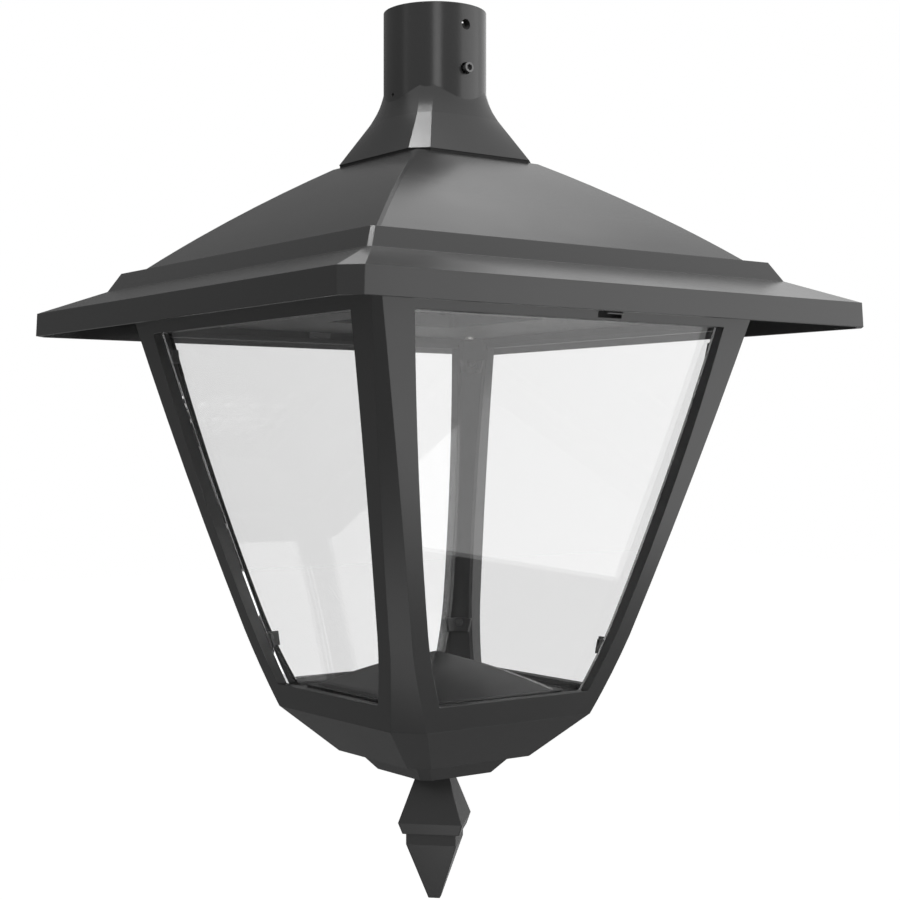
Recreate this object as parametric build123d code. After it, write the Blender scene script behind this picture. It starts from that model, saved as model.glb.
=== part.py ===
from build123d import *
import os
from math import sqrt

# A four-sided outdoor pendant lantern that hangs from a pipe. Sizes are in millimetres.
# The origin is the middle of the spigot's top rim, +Z is up, and the flat sides face X and Y.
# EAVES is the level of the brim's outer top edge. All other levels are heights above the eaves,
# and a station is (half width, corner leg, height) of a square with cut-off corners.

EAVES = -210.7
REACH = 400.0
OVER = 1.0

# Screws and their holes: half diameters, the play in a thread and the extra of a clearance hole.
M3_R = 1.5
M4_R = 2.0
M5_R = 2.5
M6_R = 3.0
M8_R = 4.0
THREAD_GAP = 0.05
CLEARANCE = 0.3

# Neck and pipe socket. A neck section is its height, the distance to the middle of a side,
# the distance to a corner's facet, and that facet's half width.
SPIGOT_TOP = 210.7
SPIGOT_R = 36.7
PIPE_BORE_R = 30.75
SOCKET_FOOT = 153.7
PIPE_STOP = 4.0
PIPE_STOP_R = 20.0
SET_SCREW_HEIGHT = 165.7
SPARE_HOLE_HEIGHT = 196.4
TAPPING_R = M8_R - 0.4
NECK_FOOT = 103.5
NECK_BOLT_AT = 36.1
NECK_CURVE = [
    (154.5, 34.8, 35.9, 5.0),
    (149.0, 35.8, 37.5, 5.0),
    (143.0, 37.0, 39.7, 5.1),
    (137.0, 38.8, 42.9, 5.1),
    (132.0, 40.7, 46.1, 5.1),
]
NECK_SLOPE = [NECK_CURVE[-1], (NECK_FOOT, 53.85, 68.4, 7.6)]

# Roof casting with its step, brim and fascia.
ROOF_SEAT = 101.6
ROOF_SEAT_WALL = 4.0
CANOPY_OUTSIDE = [
    (53.3, 2.0, ROOF_SEAT),
    (104.5, 2.0, 69.1),
    (156.5, 2.1, 29.2),
    (166.2, 2.1, 29.2),
    (173.7, 2.2, 16.0),
    (215.0, 11.1, 0.0),
    (215.5, 10.7, -16.5),
]
CANOPY_INSIDE = [
    (54.0, 2.0, ROOF_SEAT - ROOF_SEAT_WALL),
    (102.8, 2.0, 66.6),
    (155.5, 2.0, 26.2),
    (164.5, 2.2, 26.2),
    (171.6, 2.4, 13.6),
    (212.0, 10.4, -2.0),
    (212.5, 10.2, -18.0),
]
ROOF_ARC = {1}
SEAL_RIB_OUT = 156.5
SEAL_RIB_IN = 153.0
SEAL_HEIGHT = 3.0
PAD_TOP = 40.0

# Tray with the lamp gear.
CEILING = -7.5
TRAY_HALF = 145.0
TRAY_SHEET = 2.0
TRAY_TOP = CEILING + TRAY_SHEET
TRAY_SCREW_AT = 126.0
TRAY_SCREW_DEPTH = 12.0
WELL_HALF = 55.0
WELL_RIM = 4.5
LENS_SHEET = 3.0
BOARD_FOOT = 10.0
BOARD_SHEET = 1.6
LED_PITCH = 24.0
SINK_FOOT = BOARD_FOOT + BOARD_SHEET
SINK_PLATE = 5.0
SPACER_PLACES = [(66, 49), (66, -49), (-66, 49), (-66, -49)]
SPACER_THREAD = 4.0

# Hinge at the back of the brim.
PIN_Y = 165.0
PIN_HEIGHT = -8.0
PIN_R = 2.5
PIN_GAP = 0.06
PIN_HEAD_R = 4.0
KNUCKLE_HALF = 9.8
LUG_IN = 10.3
LUG_OUT = 14.3
LUG_R = 6.0
BRACKET_FOOT = 1.5
BRACKET_TOP = 4.0
BRACKET_SCREW_Y = 170.0
BRACKET_SCREWS_X = (-19.5, 19.5)
BRACKET_SCREW_DEPTH = 8.0

# Catch and locating lug at the front of the brim.
CATCH_X = 24.5
CATCH_SHEET = 0.8
CATCH_WIDE = 14.0
CATCH_SCREW_Y = -186.0
CATCH_SCREWS_X = (20.0, 29.0)
CATCH_SCREW_DEPTH = 3.0
LOCATOR = (-26.2, -10.9)

# Glazed body: frame, windows and panes. The windows' corners are (half width, height).
RAIL_TOP = 0.0
RAIL_FLANGE = 5.0
BODY_FOOT = -284.3
BODY_FOOT_HALF = 87.3
BODY_FOOT_LEG = 17.1
BODY_OUTSIDE = [
    (161.1, 3.9, RAIL_TOP),
    (134.1, 8.3, -114.6),
    (103.2, 10.4, -230.0),
    (95.5, 13.0, -257.2),
    (BODY_FOOT_HALF, BODY_FOOT_LEG, BODY_FOOT),
]
BODY_ARCS = {1, 3}
WINDOW_TOP = -16.5
WINDOW_FOOT = -267.5
WINDOW_EDGE = [(129.9, WINDOW_TOP), (109.6, -118.0), (82.7, -220.0), (73.8, -245.0), (63.6, WINDOW_FOOT)]
WINDOW_ARCS = {1, 3}
CHORD_TOP_HALF = 157.5
CHORD_FOOT_HALF = 92.2
FLANGE = 7.0
GLASS = 5.0
POST_CORNER_LEG = 12.0
FLOOR = -270.5
FLOOR_SHEET = 4.0
UNDER_FLOOR = FLOOR - FLOOR_SHEET
SLOPE = (CHORD_TOP_HALF - CHORD_FOOT_HALF) / (WINDOW_TOP - WINDOW_FOOT)
LEAN = sqrt(1 + SLOPE ** 2)

# Clips that hold the panes, on small bosses in the posts' corners.
CLIP_HEIGHTS = (-31.0, -237.0)
CLIP_TALL = 10.0
CLIP_WING = 13.0
CLIP_SHEET = 1.5
CLIP_LEG = 6.5
CLIP_BOSS_R = 3.2
CLIP_BOSS = (CLIP_LEG + 2 * GLASS * LEAN - POST_CORNER_LEG) / sqrt(2 + 4 * SLOPE ** 2)
CLIP_SCREW_DEPTH = 6.0

# Base tray, finial and the stud between them.
TRAY_FLOOR = -313.5
BLOCK_TOP = -316.0
BLOCK_FOOT = -329.2
BASE_SCREW_AT = 56.0
BASE_SCREW_HEAD_R = 5.0
STUD_R = M8_R
STUD_DEPTH = 18.0


def chord_half(height, depth=0.0):
    """Half width of the flat glazing plane at a height, a normal depth inside the frame's chord."""
    return CHORD_TOP_HALF - SLOPE * (WINDOW_TOP - height) - depth * LEAN


def side_lines(points, bends):
    """Joins points in the XZ plane by lines, or by an arc through each point that bends names."""
    lines = []
    at = 0
    while at < len(points) - 1:
        if at + 1 in bends:
            lines.append(ThreePointArc(*points[at:at + 3]))
            at += 2
        else:
            lines.append(Line(*points[at:at + 2]))
            at += 1
    return lines


def bar(right, turn):
    """A long bar whose end has the lines on its right and their mirror image on its left."""
    first = right[0] @ 0
    last = right[-1] @ 1
    lines = right + [mirror(line, about=Plane.YZ) for line in right]
    lines.append(Line(first, (-first.X, 0, first.Z)))
    lines.append(Line(last, (-last.X, 0, last.Z)))
    return Rot(0, 0, turn) * extrude(make_face(lines), amount=REACH, both=True)


def slab(points, bends, turn):
    """A bar whose right side runs through (across, height) points."""
    return bar(side_lines([(across, 0, EAVES + height) for across, height in points], bends), turn)


def crossed(face, ridge):
    """The form that two face bars and two ridge bars have in common: a square with cut corners."""
    square = face(0) & face(90)
    return square & ridge(45) & ridge(135)


def four_sided(stations, bends=()):
    """A four-sided form through its stations, with flat or curved sides and corner facets."""
    sides = [(half, height) for half, leg, height in stations]
    ridges = [((2 * half - leg) / sqrt(2), height) for half, leg, height in stations]
    return crossed(lambda turn: slab(sides, bends, turn), lambda turn: slab(ridges, bends, turn))


def block(across, deep, up):
    """A box between two limits along X, along Y and in height."""
    size = Box(across[1] - across[0], deep[1] - deep[0], up[1] - up[0], align=Align.MIN)
    return Pos(across[0], deep[0], EAVES + up[0]) * size


def post(x, y, radius, foot, top):
    """An upright round bar between two heights."""
    upright = Cylinder(radius, top - foot, align=(Align.CENTER, Align.CENTER, Align.MIN))
    return Pos(x, y, EAVES + foot) * upright


def tapered(x, y, foot_r, top_r, foot, top):
    """An upright cone between two heights."""
    cone = Cone(foot_r, top_r, top - foot, align=(Align.CENTER, Align.CENTER, Align.MIN))
    return Pos(x, y, EAVES + foot) * cone


def crossbar(radius, start, end, y, height):
    """A round bar along X."""
    lying = Cylinder(radius, end - start, align=(Align.CENTER, Align.CENTER, Align.MIN))
    return Pos(start, y, EAVES + height) * Rot(0, 90, 0) * lying


def depth_bar(radius, start, end, x, height):
    """A round bar along Y."""
    lying = Cylinder(radius, end - start, align=(Align.CENTER, Align.CENTER, Align.MIN))
    return Pos(x, start, EAVES + height) * Rot(-90, 0, 0) * lying


def hexagon(x, y, across_flats, foot, top):
    """An upright hexagonal bar between two heights."""
    outline = RegularPolygon(across_flats / 2, 6, major_radius=False)
    return Pos(x, y, EAVES + foot) * extrude(outline, amount=top - foot)


def corners(reach):
    """The four corners of a square."""
    return [(reach, reach), (-reach, reach), (-reach, -reach), (reach, -reach)]


def middles(reach):
    """The four middles of a square's sides."""
    return [(reach, 0), (0, reach), (-reach, 0), (0, -reach)]


def union(shapes):
    """All the shapes as one solid."""
    whole = shapes[0]
    for shape in shapes[1:]:
        whole = whole + shape
    return whole


def group(shapes):
    """Separate solids that share one node."""
    return Compound(children=[shape.solid() for shape in shapes])


# Canopy side: the neck and its fixings.

def neck_section(height, middle, corner, facet_half):
    """The neck's outline at one height: four arched sides and four short corner facets."""
    far = (corner + facet_half) / sqrt(2)
    near = (corner - facet_half) / sqrt(2)
    lines = []
    for turn in range(0, 360, 90):
        lines.append(Rot(0, 0, turn) * ThreePointArc((far, -near), (middle, 0), (far, near)))
        lines.append(Rot(0, 0, turn) * Line((far, near), (near, far)))
    return Pos(0, 0, EAVES + height) * make_face(lines)


def neck_hollow():
    """The inside of the flare: straight slopes that turn upright with a tangent bend."""
    throat = 32.5
    face_knee = 134.6
    face_foot = 49.5
    face_bend = 15.0
    ridge_knee = 142.9
    ridge_foot = 64.1
    ridge_bend = 20.0

    def outline(knee, wide, bend):
        points = [(throat, 0, EAVES + SOCKET_FOOT), (throat, 0, EAVES + knee), (wide, 0, EAVES + NECK_FOOT)]
        return list(FilletPolyline(*points, radius=bend).edges().sort_by(Axis.Z)[::-1])

    return crossed(
        lambda turn: bar(outline(face_knee, face_foot, face_bend), turn),
        lambda turn: bar(outline(ridge_knee, ridge_foot, ridge_bend), turn),
    )


def spigot_neck():
    """Cast neck: pipe socket with two tapped holes, pipe stop, hollow flare and four bosses."""
    spigot_foot = 138.0
    boss_r = 6.5
    boss_top = 116.0
    thread_depth = 10.0
    weep_r = 1.2
    weep_height = SOCKET_FOOT - PIPE_STOP - 0.8
    beyond = SPIGOT_R + 5
    curve = loft([neck_section(*row) for row in NECK_CURVE])
    slope = loft([neck_section(*row) for row in NECK_SLOPE], ruled=True)
    outside = curve + slope + post(0, 0, SPIGOT_R, spigot_foot, SPIGOT_TOP)
    hollow = neck_hollow() - post(0, 0, SPIGOT_R, SOCKET_FOOT - PIPE_STOP, SOCKET_FOOT)
    for x, y in corners(NECK_BOLT_AT):
        hollow = hollow - post(x, y, boss_r, NECK_FOOT, boss_top)
    neck = outside - hollow
    neck = neck - post(0, 0, PIPE_BORE_R, SOCKET_FOOT, SPIGOT_TOP)
    neck = neck - post(0, 0, PIPE_STOP_R, SOCKET_FOOT - PIPE_STOP, SOCKET_FOOT)
    for x, y in corners(NECK_BOLT_AT):
        neck = neck - post(x, y, M6_R + THREAD_GAP, NECK_FOOT, NECK_FOOT + thread_depth)
    neck = neck - depth_bar(M8_R + THREAD_GAP, -beyond, 0, 0, SET_SCREW_HEIGHT)
    neck = neck - depth_bar(TAPPING_R, -beyond, beyond, 0, SPARE_HOLE_HEIGHT)
    return neck - crossbar(weep_r, -beyond, 0, 0, weep_height)


def set_screw():
    """Socket set screw across the socket's wall, its tip flush with the bore."""
    outer_end = -41.0
    tip = -PIPE_BORE_R - 0.2
    edge = 0.5
    socket_flats = 4.0
    socket_depth = 4.5
    screw = depth_bar(M8_R, outer_end, tip, 0, SET_SCREW_HEIGHT)
    screw = chamfer(screw.edges().filter_by(GeomType.CIRCLE), edge)
    key = extrude(RegularPolygon(socket_flats / 2, 6, major_radius=False), amount=socket_depth)
    return screw - Pos(0, outer_end, EAVES + SET_SCREW_HEIGHT) * Rot(-90, 0, 0) * key


def neck_gasket():
    """Flat rubber gasket between the neck and the roof."""
    half = 53.3
    leg = 10.7
    cable_way_r = 24.0
    bolt_hole_r = M6_R + 0.5
    sheet = four_sided([(half, leg, NECK_FOOT), (half, leg, ROOF_SEAT)])
    sheet = sheet - post(0, 0, cable_way_r, ROOF_SEAT, NECK_FOOT)
    for x, y in corners(NECK_BOLT_AT):
        sheet = sheet - post(x, y, bolt_hole_r, ROOF_SEAT, NECK_FOOT)
    return sheet


def neck_bolts():
    """Four socket cap screws with washers that draw the neck down on the roof from inside."""
    washer = 1.6
    washer_r = 6.0
    head = 6.0
    head_r = 5.0
    key_flats = 5.0
    key_depth = 3.0
    reach = 8.0
    seat = ROOF_SEAT - ROOF_SEAT_WALL
    under_washer = seat - washer
    head_foot = under_washer - head
    bolts = []
    for x, y in corners(NECK_BOLT_AT):
        shank = post(x, y, M6_R, under_washer, NECK_FOOT + reach)
        cap = post(x, y, head_r, head_foot, under_washer)
        ring = post(x, y, washer_r, under_washer, seat)
        key = hexagon(x, y, key_flats, head_foot, head_foot + key_depth)
        bolts.append(shank + cap + ring - key)
    return group(bolts)


def cable_gland():
    """Nylon gland: thread through the roof, hexagon and dome above it in the neck."""
    thread_r = 10.0
    thread_foot = ROOF_SEAT - 13
    flats = 24.0
    collar_foot = ROOF_SEAT + 7
    collar_r = 11.0
    dome_foot = ROOF_SEAT + 17
    dome_top = ROOF_SEAT + 22
    dome_top_r = 6.5
    cable_r = 4.5
    gland = post(0, 0, thread_r, thread_foot, ROOF_SEAT)
    gland = gland + hexagon(0, 0, flats, ROOF_SEAT, collar_foot)
    gland = gland + post(0, 0, collar_r, collar_foot, dome_foot)
    gland = gland + tapered(0, 0, collar_r, dome_top_r, dome_foot, dome_top)
    return gland - post(0, 0, cable_r, thread_foot - OVER, dome_top + OVER)


def gland_nut():
    """Lock nut of the gland, under the roof's top wall."""
    flats = 26.0
    thick = 5.0
    bore_r = 10.05
    seat = ROOF_SEAT - ROOF_SEAT_WALL
    return hexagon(0, 0, flats, seat - thick, seat) - post(0, 0, bore_r, seat - thick - OVER, seat + OVER)


# Canopy side: the roof casting and what it carries.

def canopy():
    """Hollow roof casting with its step, brim, fascia, seal rib, bosses and pads."""
    gland_hole_r = 10.2
    boss_r = 5.0
    boss_top = 70.0
    seat_foot = ROOF_SEAT - ROOF_SEAT_WALL - OVER
    outside = four_sided(CANOPY_OUTSIDE, ROOF_ARC)
    shell = outside - four_sided(CANOPY_INSIDE, ROOF_ARC)
    rib = four_sided([(SEAL_RIB_OUT, 4.0, PAD_TOP), (SEAL_RIB_OUT, 4.0, SEAL_HEIGHT)])
    rib = rib - four_sided([(SEAL_RIB_IN, 3.0, PAD_TOP), (SEAL_RIB_IN, 3.0, SEAL_HEIGHT)])
    hinge_pad = block((-25, 25), (158, 180), (BRACKET_TOP, PAD_TOP))
    catch_pad = block((CATCH_X - 10, CATCH_X + 10), (-196, -173), (SEAL_HEIGHT, PAD_TOP))
    locating_lug = block(LOCATOR, (-163.5, -157.7), (-9.3, PAD_TOP))
    bosses = [post(x, y, boss_r, TRAY_TOP, boss_top) for x, y in corners(TRAY_SCREW_AT)]
    for piece in [rib, hinge_pad, catch_pad, locating_lug] + bosses:
        shell = shell + (piece & outside)
    shell = shell - post(0, 0, gland_hole_r, seat_foot, ROOF_SEAT + OVER)
    for x, y in corners(NECK_BOLT_AT):
        shell = shell - post(x, y, M6_R + CLEARANCE, seat_foot, ROOF_SEAT + OVER)
    for x, y in corners(TRAY_SCREW_AT):
        shell = shell - post(x, y, M4_R + THREAD_GAP, TRAY_TOP, TRAY_TOP + TRAY_SCREW_DEPTH)
    for x in BRACKET_SCREWS_X:
        hole_top = BRACKET_TOP + BRACKET_SCREW_DEPTH + OVER
        shell = shell - post(x, BRACKET_SCREW_Y, M4_R + THREAD_GAP, BRACKET_TOP, hole_top)
    for x in CATCH_SCREWS_X:
        hole_top = SEAL_HEIGHT + CATCH_SCREW_DEPTH + OVER
        shell = shell - post(x, CATCH_SCREW_Y, M3_R + THREAD_GAP, SEAL_HEIGHT, hole_top)
    return shell


def canopy_seal():
    """Sponge rubber ring under the seal rib, which the body's top rail closes against."""
    outside = SEAL_RIB_OUT - 0.2
    inside = SEAL_RIB_IN + 0.2
    ring = four_sided([(outside, 4.0, SEAL_HEIGHT), (outside, 4.0, RAIL_TOP)])
    return ring - four_sided([(inside, 3.0, SEAL_HEIGHT), (inside, 3.0, RAIL_TOP)])


def gear_tray():
    """Folded sheet tray that closes the roof from below, with a raised rim round the light's well."""
    rim = CEILING + 10.0
    leg = 8.0
    pan_half = TRAY_HALF - TRAY_SHEET
    pan_leg = leg - 1
    well_out = WELL_HALF + TRAY_SHEET
    tray = four_sided([(TRAY_HALF, leg, rim), (TRAY_HALF, leg, CEILING)])
    tray = tray - four_sided([(pan_half, pan_leg, rim), (pan_half, pan_leg, TRAY_TOP)])
    tray = tray + four_sided([(well_out, 4.0, WELL_RIM), (well_out, 4.0, CEILING)])
    tray = tray - four_sided([(WELL_HALF, 3.0, WELL_RIM), (WELL_HALF, 3.0, CEILING)])
    for x, y in corners(TRAY_SCREW_AT):
        tray = tray - post(x, y, M4_R + CLEARANCE, CEILING - OVER, TRAY_TOP + OVER)
    return tray


def gear_tray_screws():
    """Four pan-head screws from below through the tray into the roof's bosses."""
    head_r = 3.8
    head_foot = CEILING - 2.4
    slot_half = 0.5
    slot_top = head_foot + 1.0
    screws = []
    for x, y in corners(TRAY_SCREW_AT):
        head = post(x, y, head_r, head_foot, CEILING)
        slot = block((x - head_r, x + head_r), (y - slot_half, y + slot_half), (head_foot, slot_top))
        screws.append(post(x, y, M4_R, CEILING, CEILING + TRAY_SCREW_DEPTH) + head - slot)
    return group(screws)


def led_places():
    """The LEDs' places: a four by four grid."""
    steps = [LED_PITCH * (number - 1.5) for number in range(4)]
    return [(x, y) for x in steps for y in steps]


def led_board():
    """Circuit board with its sixteen LEDs on the underside."""
    half = 52.0
    led_half = 1.75
    led_foot = BOARD_FOOT - 0.8
    board = block((-half, half), (-half, half), (BOARD_FOOT, BOARD_FOOT + BOARD_SHEET))
    leds = []
    for x, y in led_places():
        leds.append(block((x - led_half, x + led_half), (y - led_half, y + led_half), (led_foot, BOARD_FOOT)))
    return union([board] + leds)


def led_lens():
    """Clear lens plate on the well's rim, with a cone-shaped lens under each LED."""
    half = 60.0
    cup_tall = 4.0
    cup_foot_r = 4.0
    cup_top_r = 8.0
    plate = block((-half, half), (-half, half), (WELL_RIM, WELL_RIM + LENS_SHEET))
    cups = [tapered(x, y, cup_foot_r, cup_top_r, WELL_RIM - cup_tall, WELL_RIM) for x, y in led_places()]
    return union([plate] + cups)


def heat_sink():
    """Extruded heat sink: a plate with eleven upright fins."""
    half_long = 72
    half_deep = 56
    fin_half = 1.0
    fin_pitch = 11
    foot = SINK_FOOT + SINK_PLATE
    fin_top = foot + 24.0
    sink = block((-half_long, half_long), (-half_deep, half_deep), (SINK_FOOT, foot))
    last_fin = half_deep - 1
    fins = []
    for y in range(-last_fin, half_deep, fin_pitch):
        fins.append(block((-half_long, half_long), (y - fin_half, y + fin_half), (foot, fin_top)))
    sink = union([sink] + fins)
    for x, y in SPACER_PLACES:
        sink = sink - post(x, y, M4_R + THREAD_GAP, SINK_FOOT, SINK_FOOT + SPACER_THREAD)
    return sink


def heat_sink_spacers():
    """Four threaded spacers that stand on the tray and carry the heat sink."""
    flats = 8.0
    spacers = []
    for x, y in SPACER_PLACES:
        spacer = hexagon(x, y, flats, TRAY_TOP, SINK_FOOT)
        spacers.append(spacer + post(x, y, M4_R, SINK_FOOT, SINK_FOOT + SPACER_THREAD))
    return group(spacers)


def led_driver():
    """LED driver: a closed box with a foot at each end, behind the heat sink."""
    case_top = TRAY_TOP + 27
    case_edge = 3.0
    foot_sheet = 2.0
    foot_hole_x = 76
    foot_hole_y = 94
    foot_hole_r = 2.2
    case = block((-68, 68), (74, 114), (TRAY_TOP, case_top))
    case = chamfer(case.edges().filter_by(Axis.X).sort_by(Axis.Z)[-2:], case_edge)
    driver = case + block((-82, 82), (84, 104), (TRAY_TOP, TRAY_TOP + foot_sheet))
    for x in (-foot_hole_x, foot_hole_x):
        driver = driver - post(x, foot_hole_y, foot_hole_r, TRAY_TOP - OVER, TRAY_TOP + foot_sheet + OVER)
    return driver


def terminal_block():
    """Three-way mains terminal block in front of the heat sink."""
    top = TRAY_TOP + 18
    front = -104
    back = -82
    middle = (front + back) / 2
    wire_height = TRAY_TOP + 7
    wire_r = 3.2
    wire_depth = 8
    screw_r = 3.0
    screw_foot = TRAY_TOP + 12
    pitch = 14
    body = block((-32, 10), (front, back), (TRAY_TOP, top))
    for number in range(3):
        x = -25 + pitch * number
        body = body - depth_bar(wire_r, front - OVER, front + wire_depth, x, wire_height)
        body = body - depth_bar(wire_r, back - wire_depth, back + OVER, x, wire_height)
        body = body - post(x, middle, screw_r, screw_foot, top + OVER)
    return body


def cord_grip():
    """Clamp block on the tray that holds the supply cable beside the terminals."""
    cable_r = 4.5
    cable_height = TRAY_TOP + 7
    edge = 2.5
    front = -100
    back = -88
    grip = block((22, 50), (front, back), (TRAY_TOP, TRAY_TOP + 12))
    grip = grip - depth_bar(cable_r, front - OVER, back + OVER, 36, cable_height)
    return chamfer(grip.edges().filter_by(Axis.Y).sort_by(Axis.Z)[-2:], edge)


def earth_screw():
    """Earth screw with its washer on the tray."""
    x, y = 62, -94
    washer_r = 6.0
    washer_top = TRAY_TOP + 1.2
    head_flats = 8.0
    head_top = TRAY_TOP + 5
    return post(x, y, washer_r, TRAY_TOP, washer_top) + hexagon(x, y, head_flats, washer_top, head_top)


# Canopy side: hinge and catch.

def hinge_bracket():
    """Plate under the brim with two lugs that carry the hinge pin."""
    pin_fit = PIN_R + 0.02
    bracket = block((-24, 24), (158.5, 179), (BRACKET_FOOT, BRACKET_TOP))
    for start, end in ((-LUG_OUT, -LUG_IN), (LUG_IN, LUG_OUT)):
        bracket = bracket + crossbar(LUG_R, start, end, PIN_Y, PIN_HEIGHT)
        bracket = bracket + block((start, end), (PIN_Y - LUG_R, PIN_Y + LUG_R), (PIN_HEIGHT, BRACKET_FOOT))
    bracket = bracket - crossbar(pin_fit, -LUG_OUT - OVER, LUG_OUT + OVER, PIN_Y, PIN_HEIGHT)
    for x in BRACKET_SCREWS_X:
        bracket = bracket - post(x, BRACKET_SCREW_Y, M4_R + CLEARANCE, BRACKET_FOOT - OVER, BRACKET_TOP + OVER)
    return bracket


def hinge_bracket_screws():
    """Two screws that hold the hinge bracket up under the brim."""
    head_r = 3.6
    head_foot = BRACKET_FOOT - 2.7
    key_flats = 2.6
    key_top = head_foot + 1.5
    screws = []
    for x in BRACKET_SCREWS_X:
        head = post(x, BRACKET_SCREW_Y, head_r, head_foot, BRACKET_FOOT)
        head = head - hexagon(x, BRACKET_SCREW_Y, key_flats, head_foot, key_top)
        shank = post(x, BRACKET_SCREW_Y, M4_R, BRACKET_FOOT, BRACKET_TOP + BRACKET_SCREW_DEPTH)
        screws.append(shank + head)
    return group(screws)


def hinge_pin():
    """Hinge pin with a flat head at one end and a groove at the other."""
    head = 1.8
    tail = LUG_OUT + 3.2
    groove_start = LUG_OUT + 0.4
    groove_end = LUG_OUT + 1.4
    groove_r = PIN_R - 0.5
    pin = crossbar(PIN_R, -LUG_OUT, tail, PIN_Y, PIN_HEIGHT)
    pin = pin + crossbar(PIN_HEAD_R, -LUG_OUT - head, -LUG_OUT, PIN_Y, PIN_HEIGHT)
    groove = crossbar(PIN_R + OVER, groove_start, groove_end, PIN_Y, PIN_HEIGHT)
    return pin - (groove - crossbar(groove_r, LUG_OUT, tail, PIN_Y, PIN_HEIGHT))


def hinge_pin_clip():
    """Open retaining ring in the pin's groove."""
    ring_r = 4.4
    inner_r = PIN_R - 0.45
    start = LUG_OUT + 0.5
    end = LUG_OUT + 1.3
    mouth_half = 1.9
    ring = crossbar(ring_r, start, end, PIN_Y, PIN_HEIGHT)
    ring = ring - crossbar(inner_r, start - OVER, end + OVER, PIN_Y, PIN_HEIGHT)
    mouth = (PIN_Y - mouth_half, PIN_Y + mouth_half)
    return ring - block((start, end), mouth, (PIN_HEIGHT - ring_r - OVER, PIN_HEIGHT))


def latch_spring():
    """Spring-steel catch: screwed under the brim, its rounded nose sits in the front rail's notch."""
    bend = 1.6
    low = SEAL_HEIGHT - CATCH_SHEET / 2
    route = [(-194.0, low), (-176.0, low), (-167.0, -6.2), (-155.2, -8.2), (-163.8, -12.6)]
    path = FilletPolyline(*[(0, y, EAVES + height) for y, height in route], radius=bend)
    section = Plane(origin=path @ 0, z_dir=(0, 1, 0), x_dir=(1, 0, 0)) * Rectangle(CATCH_WIDE, CATCH_SHEET)
    leaf = Pos(CATCH_X, 0, 0) * sweep(section, path=path)
    for x in CATCH_SCREWS_X:
        leaf = leaf - post(x, CATCH_SCREW_Y, M3_R + 0.2, SEAL_HEIGHT - 2, SEAL_HEIGHT + 2)
    return leaf


def latch_screws():
    """Two small screws that hold the catch."""
    head = 1.8
    head_r = 2.7
    seat = SEAL_HEIGHT - CATCH_SHEET
    screws = []
    for x in CATCH_SCREWS_X:
        shank = post(x, CATCH_SCREW_Y, M3_R, seat, SEAL_HEIGHT + CATCH_SCREW_DEPTH)
        screws.append(shank + post(x, CATCH_SCREW_Y, head_r, seat - head, seat))
    return group(screws)


# Body side: the glazed frame, which hangs from the hinge.

def body_frame():
    """Cast frame: four L-section posts that sweep in, top rail, foot rail, floor ring and knuckle."""
    rail_inner = 149.5
    seat_top = RAIL_TOP - RAIL_FLANGE
    frame = four_sided(BODY_OUTSIDE, BODY_ARCS)
    frame = frame - four_sided([
        (chord_half(seat_top, FLANGE), POST_CORNER_LEG, seat_top),
        (chord_half(FLOOR, FLANGE), POST_CORNER_LEG, FLOOR),
    ])
    frame = frame - four_sided([(rail_inner, 8.0, RAIL_TOP + OVER), (rail_inner, 8.0, seat_top)])
    frame = frame - four_sided([(80.0, 14.0, UNDER_FLOOR), (78.5, 15.0, BODY_FOOT - OVER)])
    frame = frame - four_sided([(50.0, 6.0, FLOOR), (50.0, 6.0, UNDER_FLOOR)])
    for turn in (0, 90):
        frame = frame - slab(WINDOW_EDGE, WINDOW_ARCS, turn)
    catch_slot = block((CATCH_X - 10.2, CATCH_X + 10.3), (-170, -153.6), (-14.8, -4.0))
    lug_notch = block((LOCATOR[0] - 1.4, LOCATOR[1] + 1.4), (-170, -157.2), (-10.3, RAIL_TOP + OVER))
    frame = hinge_cut(frame - catch_slot - lug_notch)
    for x, y in middles(BASE_SCREW_AT):
        frame = frame - post(x, y, M5_R + CLEARANCE, UNDER_FLOOR, FLOOR)
        frame = frame - tapered(x, y, M5_R, BASE_SCREW_HEAD_R + 0.2, FLOOR - 2.6, FLOOR)
    for x, y, height in clip_places():
        boss = Cylinder(CLIP_BOSS_R, CLIP_BOSS + 2, align=(Align.CENTER, Align.CENTER, Align.MIN))
        frame = frame + facet_seat(x, y, height, CLIP_BOSS) * boss
        frame = frame - clip_hole(x, y, height, M3_R + THREAD_GAP, CLIP_SCREW_DEPTH)
    return frame


def hinge_cut(frame):
    """Gives the frame's back rail its hinge knuckle and the recesses for the lugs and the pin's ends."""
    knuckle_r = 5.7
    room = 0.7
    web = block((-KNUCKLE_HALF, KNUCKLE_HALF), (149.0, PIN_Y), (-12.0, -3.5))
    frame = frame + web + crossbar(knuckle_r, -KNUCKLE_HALF, KNUCKLE_HALF, PIN_Y, PIN_HEIGHT)
    for start, end in ((-LUG_OUT - room, -KNUCKLE_HALF), (KNUCKLE_HALF, LUG_OUT + room)):
        frame = frame - crossbar(LUG_R + room, start, end, PIN_Y, PIN_HEIGHT)
        frame = frame - block((start, end), (PIN_Y - LUG_R - room, PIN_Y), (PIN_HEIGHT, RAIL_TOP + OVER))
    frame = frame - crossbar(PIN_HEAD_R + 0.8, -LUG_OUT - 3, -LUG_OUT, PIN_Y, PIN_HEIGHT)
    frame = frame - crossbar(PIN_HEAD_R + 1.2, LUG_OUT, LUG_OUT + 4, PIN_Y, PIN_HEIGHT)
    return frame - crossbar(PIN_R + PIN_GAP, -KNUCKLE_HALF - OVER, KNUCKLE_HALF + OVER, PIN_Y, PIN_HEIGHT)


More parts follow.
